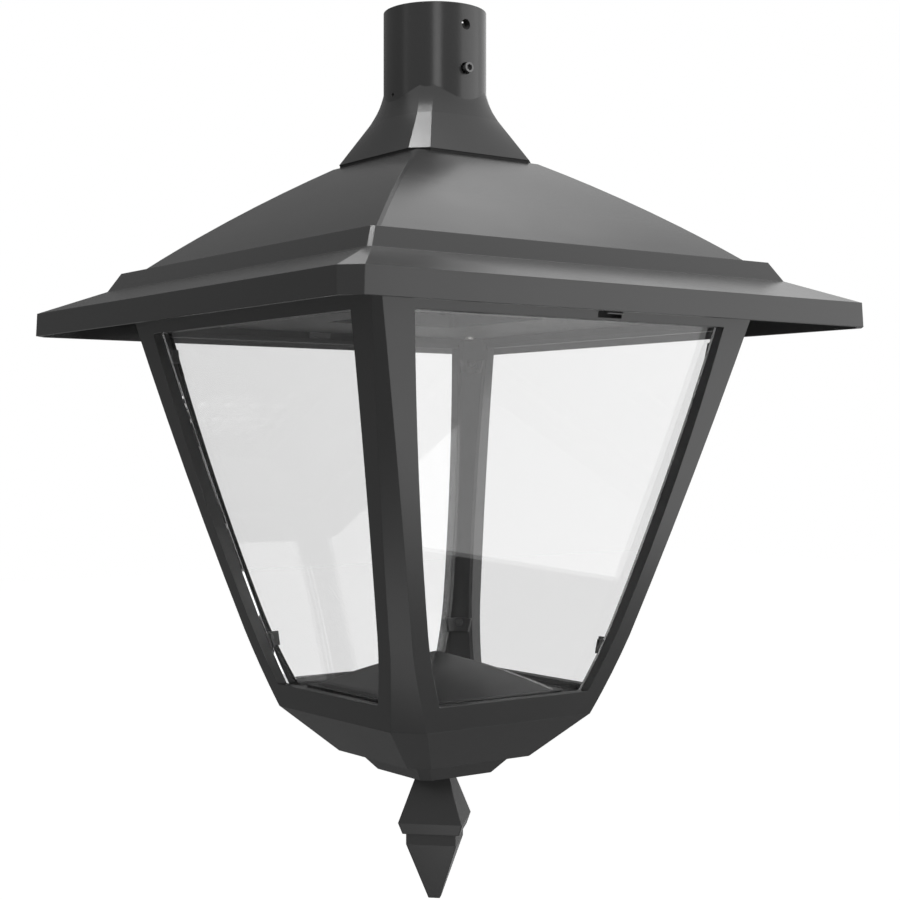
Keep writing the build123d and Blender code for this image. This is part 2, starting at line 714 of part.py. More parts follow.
def pane(turn):
    """Flat clear pane against the inside of the frame, cut to the window's curved outline."""
    lap = 0.5
    top = -12.6
    edge = [(across + lap, height) for across, height in WINDOW_EDGE]
    edge = [(edge[0][0] + 0.9, top)] + edge + [(edge[-1][0] - 1.0, FLOOR)]
    outline = slab(edge, {2, 4}, 0)
    sheet = Polyline(
        (0, -chord_half(top, FLANGE), EAVES + top),
        (0, -chord_half(FLOOR, FLANGE), EAVES + FLOOR),
        (0, -chord_half(FLOOR, FLANGE + GLASS), EAVES + FLOOR),
        (0, -chord_half(top, FLANGE + GLASS), EAVES + top),
        close=True,
    )
    leaning = extrude(make_face(sheet.edges()), amount=REACH, both=True)
    return Rot(0, 0, turn) * (leaning & outline)


def clip_places():
    """The clip screws' places on the posts' inner facets: x, y and height."""
    places = []
    for height in CLIP_HEIGHTS:
        across = chord_half(height, FLANGE) - POST_CORNER_LEG / 2
        places += [(x, y, height) for x, y in corners(across)]
    return places


def facet_seat(x, y, height, before):
    """A plane square to a post's inner facet, its Z pointing into the post, a distance before it."""
    level = Vector(x, y, 0).normalized()
    inwards = Vector(level.X, level.Y, -SLOPE * sqrt(2)).normalized()
    return Plane(origin=Vector(x, y, EAVES + height) - inwards * before, z_dir=inwards)


def clip_hole(x, y, height, radius, length):
    """A round bar from well before a post's facet into the post."""
    before = CLIP_BOSS + CLIP_SHEET + OVER
    drill = Cylinder(radius, length + before, align=(Align.CENTER, Align.CENTER, Align.MIN))
    return facet_seat(x, y, height, before) * drill


def pane_clips():
    """Eight bent clips across the posts' inner corners, each holding two panes."""
    back_leg = CLIP_LEG - 0.84
    ring = []
    for depth, leg in ((FLANGE + GLASS, CLIP_LEG), (FLANGE + GLASS + CLIP_SHEET, back_leg)):
        ring.append(four_sided([(chord_half(height, depth), leg, height) for height in (-5.0, FLOOR)]))
    shell = ring[0] - ring[1]
    clips = []
    for x, y, height in clip_places():
        near = chord_half(height, FLANGE + GLASS) - CLIP_WING
        across = sorted((near * x / abs(x), REACH * x / abs(x)))
        deep = sorted((near * y / abs(y), REACH * y / abs(y)))
        piece = shell & block(across, deep, (height - CLIP_TALL / 2, height + CLIP_TALL / 2))
        clips.append(piece - clip_hole(x, y, height, M3_R + 0.15, CLIP_SHEET * 2))
    return group(clips)


def pane_clip_screws():
    """A pan-head screw through each clip into the post."""
    head = 1.8
    head_r = 2.8
    length = 9.0
    screws = []
    for x, y, height in clip_places():
        seat = facet_seat(x, y, height, CLIP_BOSS + CLIP_SHEET)
        shank = seat * Cylinder(M3_R, length, align=(Align.CENTER, Align.CENTER, Align.MIN))
        cap = seat * Cylinder(head_r, head, align=(Align.CENTER, Align.CENTER, Align.MAX))
        screws.append(shank + cap)
    return group(screws)


def floor_plate():
    """Pressed low pyramid on the floor ring, with a flat rim and four tongues in the ring's hole."""
    sheet = 1.5
    rim_half = 66.0
    foot_half = 61.5
    foot_leg = 6.0
    peak = -243.6
    tongue_foot = FLOOR - 6.0
    rim = four_sided([(rim_half, 5.0, FLOOR + sheet), (rim_half, 5.0, FLOOR)])
    swell = [(1.5, 0.2, peak), (33.5, 3.0, -255.2), (foot_half, foot_leg, FLOOR + sheet)]
    under = [(1.0, 0.2, peak - sheet), (32.0, 3.0, -256.6), (foot_half - 2.5, 5.5, FLOOR)]
    plate = rim + four_sided(swell, {1})
    plate = plate - four_sided(under, {1})
    below = four_sided(swell + [(foot_half, foot_leg, tongue_foot)], {1})
    for turn in range(0, 360, 90):
        tongue = block((-10, 10), (47.9, 49.7), (tongue_foot, FLOOR + 6.0))
        plate = plate + (Rot(0, 0, turn) * tongue & below)
    return plate


def base_tray():
    """Stepped inverted pyramid under the body, hollow, with bosses and a hole for the finial's stud."""
    boss_r = 6.0
    thread_foot = UNDER_FLOOR - 14
    outside = four_sided([
        (BODY_FOOT_HALF, BODY_FOOT_LEG, BODY_FOOT),
        (54.1, 11.6, BLOCK_TOP),
        (42.6, 6.0, BLOCK_TOP - 0.2),
        (31.6, 5.5, BLOCK_FOOT),
    ])
    tray = outside - four_sided([(81.0, 15.5, BODY_FOOT), (51.0, 11.0, TRAY_FLOOR)])
    pillars = outside + four_sided([(78.0, 15.0, UNDER_FLOOR), (78.0, 15.0, BODY_FOOT)])
    for x, y in middles(BASE_SCREW_AT):
        tray = tray + (post(x, y, boss_r, TRAY_FLOOR, UNDER_FLOOR) & pillars)
    for x, y in middles(BASE_SCREW_AT):
        tray = tray - post(x, y, M5_R + THREAD_GAP, thread_foot, UNDER_FLOOR)
    return tray - post(0, 0, STUD_R + 0.2, BLOCK_FOOT - OVER, TRAY_FLOOR + OVER)


def base_tray_screws():
    """Four countersunk screws from the floor ring down into the base tray."""
    head = 2.5
    length = 17.0
    screws = []
    for x, y in middles(BASE_SCREW_AT):
        cap = tapered(x, y, M5_R, BASE_SCREW_HEAD_R, FLOOR - head, FLOOR)
        screws.append(cap + post(x, y, M5_R, FLOOR - length, FLOOR - 2))
    return group(screws)


def finial():
    """Square pointed finial whose corners face the flat sides of the lantern."""
    corner_reach = [
        (15.6, BLOCK_FOOT),
        (32.4, -363.4),
        (28.6, -371.4),
        (25.4, -372.0),
        (25.4, -379.3),
        (5.9, -420.0),
    ]
    edge_leg = 0.6
    spire = four_sided([(reach / sqrt(2), edge_leg, height) for reach, height in corner_reach])
    return Rot(0, 0, 45) * spire - post(0, 0, STUD_R + THREAD_GAP, BLOCK_FOOT - STUD_DEPTH - 2, BLOCK_FOOT)


def finial_stud():
    """Threaded stud that joins the finial to the base tray."""
    return post(0, 0, STUD_R, BLOCK_FOOT - STUD_DEPTH, TRAY_FLOOR + 12)


def finial_nut():
    """Nut with a washer inside the base tray."""
    washer_r = 8.5
    washer_top = TRAY_FLOOR + 1.6
    flats = 13.0
    nut_top = TRAY_FLOOR + 8
    nut = post(0, 0, washer_r, TRAY_FLOOR, washer_top) + hexagon(0, 0, flats, washer_top, nut_top)
    return nut - post(0, 0, STUD_R + THREAD_GAP, TRAY_FLOOR - OVER, nut_top + OVER)


PIECES = {
    "spigot_neck": spigot_neck,
    "set_screw": set_screw,
    "neck_gasket": neck_gasket,
    "neck_bolts": neck_bolts,
    "cable_gland": cable_gland,
    "gland_nut": gland_nut,
    "canopy": canopy,
    "canopy_seal": canopy_seal,
    "gear_tray": gear_tray,
    "gear_tray_screws": gear_tray_screws,
    "led_board": led_board,
    "led_lens": led_lens,
    "heat_sink": heat_sink,
    "heat_sink_spacers": heat_sink_spacers,
    "led_driver": led_driver,
    "terminal_block": terminal_block,
    "cord_grip": cord_grip,
    "earth_screw": earth_screw,
    "hinge_bracket": hinge_bracket,
    "hinge_bracket_screws": hinge_bracket_screws,
    "hinge_pin": hinge_pin,
    "hinge_pin_clip": hinge_pin_clip,
    "latch_spring": latch_spring,
    "latch_screws": latch_screws,
    "body_frame": body_frame,
    "pane_front": lambda: pane(0),
    "pane_right": lambda: pane(90),
    "pane_back": lambda: pane(180),
    "pane_left": lambda: pane(270),
    "pane_clips": pane_clips,
    "pane_clip_screws": pane_clip_screws,
    "floor_plate": floor_plate,
    "base_tray": base_tray,
    "base_tray_screws": base_tray_screws,
    "finial": finial,
    "finial_stud": finial_stud,
    "finial_nut": finial_nut,
}

os.makedirs("parts", exist_ok=True)
for name, make in PIECES.items():
    export_step(make(), f"parts/{name}.step")
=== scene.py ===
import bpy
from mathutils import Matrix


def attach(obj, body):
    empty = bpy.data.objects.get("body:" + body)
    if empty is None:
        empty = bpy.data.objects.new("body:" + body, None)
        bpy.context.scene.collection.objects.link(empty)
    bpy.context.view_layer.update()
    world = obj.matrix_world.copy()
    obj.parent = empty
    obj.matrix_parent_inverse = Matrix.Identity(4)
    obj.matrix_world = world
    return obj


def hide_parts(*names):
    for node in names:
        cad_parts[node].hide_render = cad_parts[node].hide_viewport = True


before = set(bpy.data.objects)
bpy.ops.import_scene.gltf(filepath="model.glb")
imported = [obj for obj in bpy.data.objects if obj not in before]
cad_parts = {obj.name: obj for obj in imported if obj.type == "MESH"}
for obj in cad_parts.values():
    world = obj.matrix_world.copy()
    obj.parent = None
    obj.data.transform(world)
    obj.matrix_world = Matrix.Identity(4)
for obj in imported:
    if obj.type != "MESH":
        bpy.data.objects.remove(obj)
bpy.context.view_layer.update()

import math

import bmesh
import bpy
from mathutils import Matrix, Vector

# The neck is an aluminium casting: a round pipe socket that flares into a square foot. It is powder
# coated in satin dark grey, as the roof, the glazed frame, the base and the finial are.


def linear(colour):
    """An sRGB hex colour as linear light."""
    shares = [int(colour[at:at + 2], 16) / 255 for at in (1, 3, 5)]
    light = [share / 12.92 if share <= 0.04045 else ((share + 0.055) / 1.055) ** 2.4 for share in shares]
    return (*light, 1)


def part(tree, kind, settings=None, inputs=None):
    """Adds one shader node. An input is a plain value or another node's output."""
    new = tree.nodes.new(kind)
    for name, value in (settings or {}).items():
        setattr(new, name, value)
    for name, value in (inputs or {}).items():
        if isinstance(value, bpy.types.NodeSocket):
            tree.links.new(value, new.inputs[name])
        else:
            new.inputs[name].default_value = value
    return new


def new_material(name):
    """An empty material and its node tree."""
    material = bpy.data.materials.new(name)
    material.use_nodes = True
    material.node_tree.nodes.clear()
    return material, material.node_tree


def powder_coat(name, colour, roughness):
    """Baked powder coat: a soft, even sheen over a faint orange peel, with a film that rounds edges."""
    # Counts per metre: a wave in 1.5 mm, a grain in 0.4 mm and a patch in 55 mm. Real powder grains
    # are finer, and are drawn this coarse so that they show.
    peel_waves = 650.0
    powder_grains = 2600.0
    sheen_patches = 18.0
    film = 0.0006
    material, tree = new_material(name)
    place = part(tree, "ShaderNodeTexCoord").outputs["Object"]
    peel = part(tree, "ShaderNodeTexNoise", {}, {"Vector": place, "Scale": peel_waves, "Detail": 2.0})
    grain = part(tree, "ShaderNodeTexNoise", {}, {"Vector": place, "Scale": powder_grains, "Detail": 2.0})
    patches = part(tree, "ShaderNodeTexNoise", {}, {"Vector": place, "Scale": sheen_patches, "Detail": 3.0})
    sheen = part(tree, "ShaderNodeMapRange", {}, {
        "Value": patches.outputs[0], "From Min": 0.3, "From Max": 0.7,
        "To Min": roughness - 0.02, "To Max": roughness + 0.03})
    tone = part(tree, "ShaderNodeMapRange", {}, {"Value": grain.outputs[0], "To Min": 0.94, "To Max": 1.06})
    dust = part(tree, "ShaderNodeMix", {"data_type": "RGBA", "blend_type": "MULTIPLY"}, {
        0: 1.0, 6: linear(colour), 7: tone.outputs[0]})
    soft = part(tree, "ShaderNodeBevel", {"samples": 6}, {"Radius": film})
    ripple = part(tree, "ShaderNodeBump", {}, {
        "Strength": 0.12, "Distance": 0.0002, "Height": peel.outputs[0], "Normal": soft.outputs[0]})
    coat = part(tree, "ShaderNodeBsdfPrincipled", {}, {
        "Base Color": dust.outputs[2], "Roughness": sheen.outputs[0], "IOR": 1.5,
        "Normal": ripple.outputs[0]})
    part(tree, "ShaderNodeOutputMaterial", {}, {"Surface": coat.outputs[0]})
    return material


def finish(material, *names):
    """Gives the named CAD parts their material."""
    for name in names:
        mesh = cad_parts[name].data
        mesh.materials.clear()
        mesh.materials.append(material)


casting_coat = powder_coat("satin_powder_coat_on_cast_aluminium", "#4A4A4A", 0.24)
finish(casting_coat, "spigot_neck")

# The set screw clamps the supply pipe in the socket. It is an M8 screw of blackened steel with a
# flat tip and a hexagon socket, and its thread shows where it stands out of the neck.

eaves = -0.2107
set_screw_height = eaves + 0.1657
set_screw_end = -0.0410
set_screw_tip = -0.03095
set_screw_radius = 0.004
thread_pitch = 0.00125
thread_depth = 0.0006
tip_chamfer = 0.0005
socket_radius = 0.0023
socket_depth = 0.0025
close_by = 0.0001


def start(add, **settings):
    """Adds a primitive at its place, selected alone, with its place put into its mesh."""
    bpy.ops.object.select_all(action="DESELECT")
    add(**settings)
    bpy.ops.object.transform_apply(location=True, rotation=True, scale=True)
    return bpy.context.object


def pick(piece, wanted, kind="FACE"):
    """In edit mode, selects only what is wanted by its middle and its normal, or an edge's run."""
    bpy.ops.mesh.select_mode(type=kind)
    bpy.ops.mesh.select_all(action="DESELECT")
    shape = bmesh.from_edit_mesh(piece.data)
    if kind == "FACE":
        for face in shape.faces:
            face.select_set(wanted(face.calc_center_median(), face.normal))
    elif kind == "EDGE":
        for edge in shape.edges:
            one_end = edge.verts[0].co
            other_end = edge.verts[1].co
            edge.select_set(wanted((one_end + other_end) / 2, other_end - one_end))
    else:
        for point in shape.verts:
            point.select_set(wanted(point.co, point.normal))
    shape.select_flush_mode()
    bmesh.update_edit_mesh(piece.data)


def cut(piece, cutter):
    """Cuts one piece with another, which is used up."""
    bpy.ops.object.select_all(action="DESELECT")
    piece.select_set(True)
    bpy.context.view_layer.objects.active = piece
    away = piece.modifiers.new("cut", "BOOLEAN")
    away.operation = "DIFFERENCE"
    away.solver = "EXACT"
    away.object = cutter
    bpy.ops.object.modifier_apply(modifier=away.name)
    bpy.data.objects.remove(cutter)


def dress(piece, name, material, body, slot, *nodes):
    """Names a finished piece and gives it its material and its body, and hides the CAD nodes it stands for.
    The slot is not used.
    """
    piece.name = name
    piece.data.name = name
    piece.data.materials.clear()
    piece.data.materials.append(material)
    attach(piece, body)
    if nodes:
        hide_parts(*nodes)


def bare_metal(name, colour, roughness, streaks, grain=900.0):
    """Uncoated metal: fine tool or rolling lines, which run along the axes where streaks is small."""
    # Counts per metre: a line in 1.1 mm, unless grain says otherwise, and a patch of haze in 8 mm.
    haze_patches = 120.0
    material, tree = new_material(name)
    place = part(tree, "ShaderNodeTexCoord").outputs["Object"]
    drawn = part(tree, "ShaderNodeMapping", {}, {"Vector": place, "Scale": streaks})
    lines = part(tree, "ShaderNodeTexNoise", {}, {"Vector": drawn.outputs[0], "Scale": grain, "Detail": 3.0})
    haze = part(tree, "ShaderNodeTexNoise", {}, {"Vector": place, "Scale": haze_patches, "Detail": 2.0})
    rough = part(tree, "ShaderNodeMapRange", {}, {
        "Value": lines.outputs[0], "To Min": roughness - 0.08, "To Max": roughness + 0.08})
    tone = part(tree, "ShaderNodeMapRange", {}, {"Value": haze.outputs[0], "To Min": 0.88, "To Max": 1.1})
    colours = part(tree, "ShaderNodeMix", {"data_type": "RGBA", "blend_type": "MULTIPLY"}, {
        0: 1.0, 6: linear(colour), 7: tone.outputs[0]})
    bump = part(tree, "ShaderNodeBump", {}, {
        "Strength": 0.1, "Distance": 0.0001, "Height": lines.outputs[0]})
    metal = part(tree, "ShaderNodeBsdfPrincipled", {}, {
        "Base Color": colours.outputs[2], "Roughness": rough.outputs[0], "Metallic": 1.0,
        "Normal": bump.outputs[0]})
    part(tree, "ShaderNodeOutputMaterial", {}, {"Surface": metal.outputs[0]})
    return material


set_screw = start(
    bpy.ops.mesh.primitive_cylinder_add, vertices=48, radius=set_screw_radius,
    depth=set_screw_tip - set_screw_end, rotation=(math.radians(90), 0, 0),
    location=(0, (set_screw_end + set_screw_tip) / 2, set_screw_height))
bpy.ops.object.mode_set(mode="EDIT")
half_turns = round((set_screw_tip - set_screw_end) / thread_pitch * 2)
for step in range(1, half_turns):
    level = set_screw_end + step * thread_pitch / 2
    bpy.ops.mesh.select_all(action="SELECT")
    bpy.ops.mesh.bisect(plane_co=(0, level, 0), plane_no=(0, 1, 0))
    if step % 2:
        pick(set_screw, lambda at, way: abs(at.y - level) < close_by, "VERT")
        thin = 1 - thread_depth / set_screw_radius
        bpy.ops.transform.resize(value=(thin, 1, thin), center_override=(0, level, set_screw_height))
pick(set_screw, lambda at, way: abs(way.y) > 0.9 and abs(at.z - set_screw_height) < 2 * close_by)
bpy.ops.mesh.bevel(offset=tip_chamfer, segments=1, affect="EDGES")
bpy.ops.object.mode_set(mode="OBJECT")
socket = start(
    bpy.ops.mesh.primitive_cylinder_add, vertices=6, radius=socket_radius, depth=2 * socket_depth,
    location=(0, set_screw_end, set_screw_height), rotation=(math.radians(90), 0, 0))
cut(set_screw, socket)
black_steel = bare_metal("blackened_steel", "#6E6E6E", 0.42, (1, 1, 1))
dress(set_screw, "threaded_set_screw", black_steel, "clamp_screw", "stainless_steel", "set_screw")

# A sheet of solid rubber seals the neck on the roof. Four stainless cap screws draw the neck down
# from inside the roof, and the supply cable passes a nylon gland in the middle.


def moulded(name, colour, roughness, grain_mm, depth_mm):
    """Moulded plastic or rubber: an even colour and the fine grain of the mould's surface."""
    material, tree = new_material(name)
    place = part(tree, "ShaderNodeTexCoord").outputs["Object"]
    grain = part(tree, "ShaderNodeTexNoise", {}, {"Vector": place, "Scale": 1000 / grain_mm, "Detail": 3.0})
    rough = part(tree, "ShaderNodeMapRange", {}, {
        "Value": grain.outputs[0], "To Min": roughness - 0.06, "To Max": roughness + 0.06})
    bump = part(tree, "ShaderNodeBump", {}, {
        "Strength": 0.5, "Distance": depth_mm / 1000, "Height": grain.outputs[0]})
    plastic = part(tree, "ShaderNodeBsdfPrincipled", {}, {
        "Base Color": linear(colour), "Roughness": rough.outputs[0], "Normal": bump.outputs[0]})
    part(tree, "ShaderNodeOutputMaterial", {}, {"Surface": plastic.outputs[0]})
    return material


solid_rubber = moulded("matt_epdm_rubber_sheet", "#1C1C1C", 0.75, 0.8, 0.05)
stainless = bare_metal("turned_stainless_steel", "#B4B2AE", 0.3, (1, 1, 4))
black_nylon = moulded("moulded_black_nylon", "#1B1B1B", 0.5, 1.2, 0.04)
finish(solid_rubber, "neck_gasket")
finish(stainless, "neck_bolts")
finish(black_nylon, "cable_gland", "gland_nut")

# The canopy is one aluminium casting: a curved four-sided roof, its step, the brim and the upright
# fascia. It has the same coat as the neck, and a ring of sponge rubber sits under its inner rib.

finish(casting_coat, "canopy")
sponge_rubber = moulded("open_sponge_rubber", "#171717", 0.9, 1.6, 0.3)
finish(sponge_rubber, "canopy_seal")

# The gear tray closes the roof from below. It is folded sheet in a slightly matter coat, held up by
# four pan-head screws with cross recesses, which are turned and rolled stainless steel.

ceiling = eaves - 0.0075
tray_screw_at = 0.126
sheet_coat = powder_coat("satin_powder_coat_on_folded_sheet", "#484848", 0.38)
finish(sheet_coat, "gear_tray")


def pan_head_screw(head_r, head, shank_r, length):
    """A screw that stands head down at the origin: domed head, cross recess and plain shank."""
    shank_taper = 0.86
    dome = head * 0.45
    recess = (head_r * 1.05, head_r * 0.22, head * 0.9)
    screw = start(
        bpy.ops.mesh.primitive_cylinder_add, vertices=32, radius=head_r, depth=head,
        location=(0, 0, -head / 2))
    bpy.ops.object.mode_set(mode="EDIT")
    pick(screw, lambda at, way: way.z > 0.9)
    bpy.ops.mesh.inset(thickness=head_r - shank_r)
    bpy.ops.mesh.extrude_region_move(TRANSFORM_OT_translate={"value": (0, 0, length)})
    bpy.ops.transform.resize(value=(shank_taper, shank_taper, 1), center_override=(0, 0, length))
    pick(screw, lambda at, way: abs(at.z + head) < close_by / 10, "EDGE")
    bpy.ops.mesh.bevel(offset=dome, segments=4, affect="EDGES")
    bpy.ops.object.mode_set(mode="OBJECT")
    for turn in (45, 135):
        blade = start(
            bpy.ops.mesh.primitive_cube_add, size=1, location=(0, 0, -head), scale=recess,
            rotation=(0, 0, math.radians(turn)))
        cut(screw, blade)
    return screw


def set_in(model, places):
    """Copies a model to each place, its axis along the way given there, as one piece."""
    copies = []
    for at, way in places:
        copy = model.copy()
        copy.data = model.data.copy()
        bpy.context.collection.objects.link(copy)
        copy.matrix_world = Matrix.LocRotScale(Vector(at), Vector(way).to_track_quat("Z", "Y"), None)
        copies.append(copy)
    bpy.data.objects.remove(model)
    bpy.ops.object.select_all(action="DESELECT")
    for copy in copies:
        copy.select_set(True)
    bpy.context.view_layer.objects.active = copies[0]
    bpy.ops.object.transform_apply(location=True, rotation=True, scale=True)
    bpy.ops.object.join()
    bpy.ops.object.shade_smooth_by_angle(angle=math.radians(40))
    return bpy.context.object


upwards = (0, 0, 1)
sides = (-tray_screw_at, tray_screw_at)
tray_places = [((x, y, ceiling), upwards) for x in sides for y in sides]
tray_screw = pan_head_screw(head_r=0.0038, head=0.0024, shank_r=0.0019, length=0.0118)
tray_screws = set_in(tray_screw, tray_places)
dress(tray_screws, "cross_recess_tray_screws", stainless, "canopy_side", "stainless_steel",
      "gear_tray_screws")

# The light source: sixteen surface-mounted LEDs on an aluminium-cored board with black solder mask.
# Each is a small white package with a yellow phosphor window, behind a clear acrylic lens plate.

board_foot = eaves + 0.010
board_half = 0.052
board_sheet = 0.0016
board_corner = 0.004
led_row = 4
led_pitch = 0.024
led_half = 0.00175
led_tall = 0.0008
window_rim = 0.0004
window_deep = 0.0002
board = start(
    bpy.ops.mesh.primitive_cube_add, size=1, location=(0, 0, board_foot + board_sheet / 2),
    scale=(2 * board_half, 2 * board_half, board_sheet))
bpy.ops.object.mode_set(mode="EDIT")
pick(board, lambda at, way: abs(way.z) > board_sheet / 2, "EDGE")
bpy.ops.mesh.bevel(offset=board_corner, segments=6, affect="EDGES")
bpy.ops.object.mode_set(mode="OBJECT")
package = start(
    bpy.ops.mesh.primitive_cube_add, size=1, location=(0, 0, -led_tall / 2),
    scale=(2 * led_half, 2 * led_half, led_tall))
bpy.ops.object.mode_set(mode="EDIT")
pick(package, lambda at, way: way.z < -0.9)
bpy.ops.mesh.inset(thickness=window_rim)
bpy.ops.mesh.extrude_region_move(TRANSFORM_OT_translate={"value": (0, 0, window_deep)})
bpy.ops.transform.resize(value=(0.9, 0.9, 1), center_override=(0, 0, 0))
bpy.ops.object.mode_set(mode="OBJECT")
steps = [led_pitch * (number - (led_row - 1) / 2) for number in range(led_row)]
led_places = [((x, y, board_foot), upwards) for x in steps for y in steps]
leds = set_in(package, led_places)


def solder_mask(name):
    """Black ink over copper: the traces stand a little proud and show as faint squares and lines."""
    material, tree = new_material(name)
    place = part(tree, "ShaderNodeTexCoord").outputs["Object"]
    tiles = part(tree, "ShaderNodeTexBrick", {"offset": 0.0}, {
        "Vector": place, "Scale": 1 / led_pitch, "Mortar Size": 0.04, "Brick Width": 1.0, "Row Height": 1.0,
        "Color1": linear("#1E201F"), "Color2": linear("#1B1D1C"), "Mortar": linear("#121413")})
    bump = part(tree, "ShaderNodeBump", {}, {
        "Strength": 0.4, "Distance": 0.0001, "Height": tiles.outputs["Fac"]})
    ink = part(tree, "ShaderNodeBsdfPrincipled", {}, {
        "Base Color": tiles.outputs["Color"], "Roughness": 0.35, "Normal": bump.outputs[0]})
    part(tree, "ShaderNodeOutputMaterial", {}, {"Surface": ink.outputs[0]})
    return material


dress(board, "led_circuit_board", solder_mask("black_solder_mask_over_copper"), "canopy_side",
      "circuit_board", "led_board")
package_white = moulded("white_led_package", "#E8E6DE", 0.5, 0.5, 0.01)
phosphor = moulded("yellow_phosphor_in_silicone", "#E6B422", 0.55, 0.3, 0.02)
dress(leds, "led_packages", package_white, "canopy_side", "circuit_board", "led_board")
leds.data.materials.append(phosphor)
window_level = board_foot - led_tall + window_deep
for face in leds.data.polygons:
    if abs(face.center.z - window_level) < close_by / 2 and face.normal.z < -0.9:
        face.material_index = 1


def clear(name, tint, roughness):
    """A clear solid with a polished surface, which lets the lamps' light through to what is behind."""
    material, tree = new_material(name)
    solid = part(tree, "ShaderNodeBsdfPrincipled", {}, {
        "Base Color": linear(tint), "Roughness": roughness, "IOR": 1.5, "Transmission Weight": 1.0})
    open_way = part(tree, "ShaderNodeBsdfTransparent", {}, {"Color": linear("#F0F0F0")})
    path = part(tree, "ShaderNodeLightPath")
    shown = part(tree, "ShaderNodeMixShader", {}, {
        0: path.outputs["Is Shadow Ray"], 1: solid.outputs[0], 2: open_way.outputs[0]})
    part(tree, "ShaderNodeOutputMaterial", {}, {"Surface": shown.outputs[0]})
    return material


finish(clear("clear_moulded_acrylic", "#FAFAFA", 0.02), "led_lens")

# Above the board stands its heat sink, an aluminium extrusion with eleven fins, on four turned
# hexagon spacers. The driver, the mains terminals, the cord grip and the earth screw stand round it.

extruded = bare_metal("mill_finish_extruded_aluminium", "#C6C7C9", 0.38, (0.05, 1, 1))
white_case = moulded("moulded_white_polycarbonate", "#D9D8D2", 0.45, 1.0, 0.05)
grey_nylon = moulded("moulded_pale_grey_nylon", "#C9C8C1", 0.5, 1.2, 0.04)
finish(extruded, "heat_sink")
finish(stainless, "heat_sink_spacers", "earth_screw")
finish(white_case, "led_driver")
finish(grey_nylon, "terminal_block")
finish(black_nylon, "cord_grip")

# The hinge at the back of the brim is a zinc-plated steel bracket with two lugs, and a stainless
# pin with a retaining ring, about which the glazed body swings down.

zinc = bare_metal("zinc_plated_steel", "#A9ACB0", 0.35, (1, 1, 1), 300.0)
finish(zinc, "hinge_bracket")
finish(stainless, "hinge_bracket_screws", "hinge_pin", "hinge_pin_clip")

# The catch at the front is a leaf of spring steel, bent to a round nose that sits in the notch of
# the front rail. It is tempered grey, and two small screws hold it under the brim.

eave_seat = eaves + 0.0022
catch_screws_front = -0.186
catch_screws_along = (0.020, 0.029)
spring_steel = bare_metal("tempered_spring_steel", "#7A7A7A", 0.42, (0.2, 1, 1))
finish(spring_steel, "latch_spring")
catch_places = [((x, catch_screws_front, eave_seat), upwards) for x in catch_screws_along]
catch_screw = pan_head_screw(head_r=0.0027, head=0.0018, shank_r=0.0014, length=0.0037)
catch_screws = set_in(catch_screw, catch_places)
dress(catch_screws, "cross_recess_catch_screws", stainless, "canopy_side", "stainless_steel",
      "latch_screws")

# The glazed body is one cast frame: four L-section posts that sweep in to the foot, a top rail, a
# foot rail and a floor ring. It has the coat of the roof.

finish(casting_coat, "body_frame")

# Each side has a clear flat pane, 5 mm thick, laid against the inside of the frame and cut to the
# window's curved sides. Its edges are polished and catch the light as thin bright lines. The two at
# the right-hand back post are drawn bedded in black sealant, because no bright line shows there.

pane_top = eaves - 0.0126
pane_foot = eaves - 0.2705
slope = 0.26
chord_top = 0.1575
window_top = eaves - 0.0165
frame_wall = 0.007
glass = 0.005
arris_wide = 0.00015
lean = math.sqrt(1 + slope ** 2)
pane_middle = (pane_top + pane_foot) / 2
row_count = 64
upper_side = [(0.1304, eaves - 0.0165), (0.1101, eaves - 0.118), (0.0832, eaves - 0.220)]
lower_side = [(0.0832, eaves - 0.220), (0.0743, eaves - 0.245), (0.0641, eaves - 0.2675)]


def curve_at(height, side):
    """Half width at a height, on the smooth curve through three (half width, height) points."""
    across = 0
    for width, level in side:
        others = [other for _, other in side if other != level]
        share = 1
        for other in others:
            share *= (height - other) / (level - other)
        across += width * share
    return across


def plane_at(height):
    """Distance of the glazing's outer face from the middle at a height."""
    return chord_top - slope * (window_top - height) - frame_wall * lean


sheet = start(
    bpy.ops.mesh.primitive_plane_add, size=1, location=(0, 0, pane_middle),
    rotation=(math.radians(90), 0, 0))
bpy.ops.object.mode_set(mode="EDIT")
pick(sheet, lambda at, way: True)
bpy.ops.transform.resize(value=(1, 1, pane_top - pane_foot), center_override=(0, 0, pane_middle))
pick(sheet, lambda at, way: abs(at.x) > 0.4, "EDGE")
bpy.ops.mesh.subdivide(number_cuts=row_count - 1)
for row in range(row_count + 1):
    level = pane_foot + (pane_top - pane_foot) * row / row_count
    half = curve_at(level, upper_side if level > upper_side[-1][1] else lower_side)
    pick(sheet, lambda at, way: abs(at.z - level) < close_by, "VERT")
    bpy.ops.transform.resize(value=(2 * half, 1, 1), center_override=(0, 0, level))
    bpy.ops.transform.translate(value=(0, -plane_at(level), 0))
bpy.ops.mesh.select_mode(type="FACE")
bpy.ops.mesh.select_all(action="SELECT")
bpy.ops.mesh.extrude_region_move(TRANSFORM_OT_translate={"value": (0, glass * lean, 0)})
bpy.ops.mesh.select_all(action="SELECT")
bpy.ops.mesh.normals_make_consistent(inside=False)
bpy.ops.object.mode_set(mode="OBJECT")
arris = sheet.modifiers.new("polished_arris", "BEVEL")
arris.width = arris_wide
arris.limit_method = "ANGLE"
arris.angle_limit = math.radians(40)
bpy.ops.object.modifier_apply(modifier=arris.name)
bpy.ops.object.shade_smooth_by_angle(angle=math.radians(20))
pane_clear = clear("clear_sheet_with_polished_edges", "#F8F8F8", 0.0)
sealant = moulded("black_silicone_sealant", "#181818", 0.6, 1.0, 0.05)
bedded_edges = {"right": Vector((0, 1, 0)), "back": Vector((1, 0, 0))}
